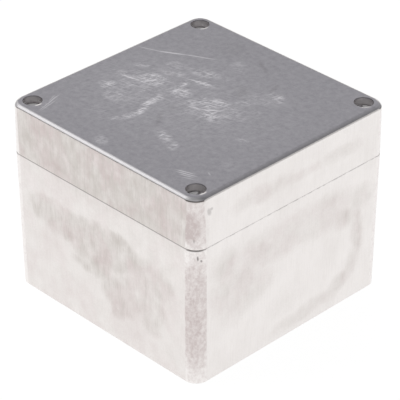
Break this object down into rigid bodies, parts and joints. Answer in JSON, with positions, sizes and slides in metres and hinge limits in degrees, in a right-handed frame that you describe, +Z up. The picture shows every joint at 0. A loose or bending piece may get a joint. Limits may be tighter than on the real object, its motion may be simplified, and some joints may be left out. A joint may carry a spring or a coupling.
{
  "type": "die cast aluminium box",
  "caption": "Square die cast box with a deep lid held by captive screws sunk in its corners, a gasket, wall fixing wells, threaded floor bosses and an earth terminal.",
  "frame": {"origin": "middle of the underside", "axes": "+Z up through the lid, -Y the front, +X the right side"},
  "size_m": [0.1, 0.1, 0.08],
  "materials": {
    "cast_aluminium": "die cast, sides ground",
    "gasket_rubber": "smooth black rubber",
    "stainless_steel": "bright turned",
    "nylon": "natural, slightly see-through"
  },
  "bodies": {
    "base": {"base_casting": "cast_aluminium"},
    "lid": {"lid_casting": "cast_aluminium", "lid_gasket": "gasket_rubber"},
    "retainer_front_left": {"screw_retainer_front_left": "nylon"},
    "screw_front_left": {"lid_screw_front_left": "stainless_steel"},
    "retainer_front_right": {"screw_retainer_front_right": "nylon"},
    "screw_front_right": {"lid_screw_front_right": "stainless_steel"},
    "retainer_rear_left": {"screw_retainer_rear_left": "nylon"},
    "screw_rear_left": {"lid_screw_rear_left": "stainless_steel"},
    "retainer_rear_right": {"screw_retainer_rear_right": "nylon"},
    "screw_rear_right": {"lid_screw_rear_right": "stainless_steel"},
    "earth_clamp": {"earth_clamp": "stainless_steel", "earth_spring_washer": "stainless_steel"},
    "earth_screw": {"earth_screw": "stainless_steel"}
  },
  "joints": [
    {"name": "lid_lift", "type": "slide", "parent": "base", "child": "lid", "axis": [0, 0, 1], "range_m": [0, 0.07]},
    {"name": "screw_front_left_rise", "type": "slide", "parent": "lid", "child": "retainer_front_left", "axis": [0, 0, 1], "range_m": [0, 0.0098]},
    {"name": "screw_front_left_turn", "type": "hinge", "parent": "retainer_front_left", "child": "screw_front_left", "pos_m": [-0.0434, -0.0434, 0.0743], "axis": [0, 0, 1], "range_deg": [0, 5040]},
    {"name": "screw_front_right_rise", "type": "slide", "parent": "lid", "child": "retainer_front_right", "axis": [0, 0, 1], "range_m": [0, 0.0098]},
    {"name": "screw_front_right_turn", "type": "hinge", "parent": "retainer_front_right", "child": "screw_front_right", "pos_m": [0.0434, -0.0434, 0.0743], "axis": [0, 0, 1], "range_deg": [0, 5040]},
    {"name": "screw_rear_left_rise", "type": "slide", "parent": "lid", "child": "retainer_rear_left", "axis": [0, 0, 1], "range_m": [0, 0.0098]},
    {"name": "screw_rear_left_turn", "type": "hinge", "parent": "retainer_rear_left", "child": "screw_rear_left", "pos_m": [-0.0434, 0.0434, 0.0743], "axis": [0, 0, 1], "range_deg": [0, 5040]},
    {"name": "screw_rear_right_rise", "type": "slide", "parent": "lid", "child": "retainer_rear_right", "axis": [0, 0, 1], "range_m": [0, 0.0098]},
    {"name": "screw_rear_right_turn", "type": "hinge", "parent": "retainer_rear_right", "child": "screw_rear_right", "pos_m": [0.0434, 0.0434, 0.0743], "axis": [0, 0, 1], "range_deg": [0, 5040]},
    {"name": "earth_screw_rise", "type": "slide", "parent": "base", "child": "earth_clamp", "axis": [0, 0, 1], "range_m": [0, 0.0028]},
    {"name": "earth_screw_turn", "type": "hinge", "parent": "earth_clamp", "child": "earth_screw", "pos_m": [0.0375, 0, 0.0124], "axis": [0, 0, 1], "range_deg": [0, 1440]}
  ],
  "couplings": [
    {"joint": "screw_front_left_turn", "follows": "screw_front_left_rise", "rad_per_m": 8976},
    {"joint": "screw_front_right_turn", "follows": "screw_front_right_rise", "rad_per_m": 8976},
    {"joint": "screw_rear_left_turn", "follows": "screw_rear_left_rise", "rad_per_m": 8976},
    {"joint": "screw_rear_right_turn", "follows": "screw_rear_right_rise", "rad_per_m": 8976},
    {"joint": "earth_screw_turn", "follows": "earth_screw_rise", "rad_per_m": 8976}
  ]
}
